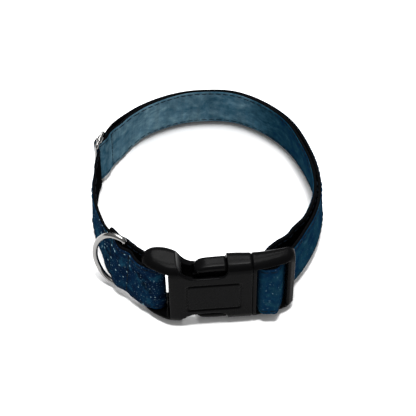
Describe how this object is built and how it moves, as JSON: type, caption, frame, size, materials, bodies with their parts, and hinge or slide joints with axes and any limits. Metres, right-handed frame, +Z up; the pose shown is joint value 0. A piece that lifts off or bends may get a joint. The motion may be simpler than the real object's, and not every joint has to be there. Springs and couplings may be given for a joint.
{
  "type": "adjustable dog collar",
  "caption": "Flat adjustable dog collar of black webbing faced with blue printed ribbon, with a side release buckle, a wire leash ring and a metal slider.",
  "frame": {"origin": "on the floor, under the middle of the whole collar standing on its edge", "axes": "+X along the buckle from the socket to the plug, +Y from the buckle to the back of the neck, +Z up across the webbing"},
  "size_m": [0.0994, 0.1071, 0.0329],
  "materials": {
    "webbing_black": "matt black woven webbing",
    "ribbon_blue": "satin ribbon printed in mottled dark blue",
    "buckle_plastic": "satin moulded black plastic",
    "ring_chrome": "bright plated wire",
    "slider_chrome": "bright plated wire"
  },
  "bodies": {
    "collar": {"buckle_socket": "buckle_plastic", "strap_left": "webbing_black", "ribbon_left": "ribbon_blue", "strap_weave_in": "webbing_black", "ribbon_weave_in": "ribbon_blue", "strap_weave_out": "webbing_black", "ribbon_weave_out": "ribbon_blue", "strap_back_outer": "webbing_black", "ribbon_back_outer": "ribbon_blue", "strap_right_outer": "webbing_black", "ribbon_right_outer": "ribbon_blue", "strap_right_inner": "webbing_black", "ribbon_right_inner": "ribbon_blue", "strap_back_inner": "webbing_black", "ribbon_back_inner": "ribbon_blue"},
    "plug": {"plug_frame": "buckle_plastic", "strap_plug_wrap": "webbing_black", "ribbon_plug_wrap": "ribbon_blue"},
    "arm_upper": {"latch_arm_upper": "buckle_plastic"},
    "arm_lower": {"latch_arm_lower": "buckle_plastic"},
    "ring": {"d_ring": "ring_chrome"},
    "slider": {"slider_frame": "slider_chrome", "strap_weave_mid": "webbing_black", "ribbon_weave_mid": "ribbon_blue", "strap_slider_loop": "webbing_black", "ribbon_slider_loop": "ribbon_blue"}
  },
  "joints": [
    {"name": "plug_slide", "type": "slide", "parent": "collar", "child": "plug", "axis": [1, 0, 0], "range_m": [0, 0.034], "deforming": ["strap_right_outer", "ribbon_right_outer", "strap_right_inner", "ribbon_right_inner", "latch_arm_upper", "latch_arm_lower"]},
    {"name": "arm_upper_squeeze", "type": "hinge", "parent": "plug", "child": "arm_upper", "pos_m": [0.01035, -0.04541, 0.02743], "axis": [0, -0.9884, 0.152], "range_deg": [0, 7], "stiffness_Nm_per_rad": 0.3, "springref_deg": -2.86},
    {"name": "arm_lower_squeeze", "type": "hinge", "parent": "plug", "child": "arm_lower", "pos_m": [0.01035, -0.04863, 0.00648], "axis": [0, 0.9884, -0.152], "range_deg": [0, 7], "stiffness_Nm_per_rad": 0.3, "springref_deg": -2.86},
    {"name": "ring_swing", "type": "hinge", "parent": "collar", "child": "ring", "pos_m": [-0.03644, -0.0328, 0.01696], "axis": [0.12, 0.0934, 0.9884], "range_deg": [-3, 125]},
    {"name": "slider_travel", "type": "hinge", "parent": "collar", "child": "slider", "pos_m": [-0.0002, -0.00002, 0.01516], "axis": [0, 0, 1], "range_deg": [-8, 8], "deforming": ["strap_weave_in", "ribbon_weave_in", "strap_weave_out", "ribbon_weave_out", "strap_back_inner", "ribbon_back_inner"]}
  ]
}
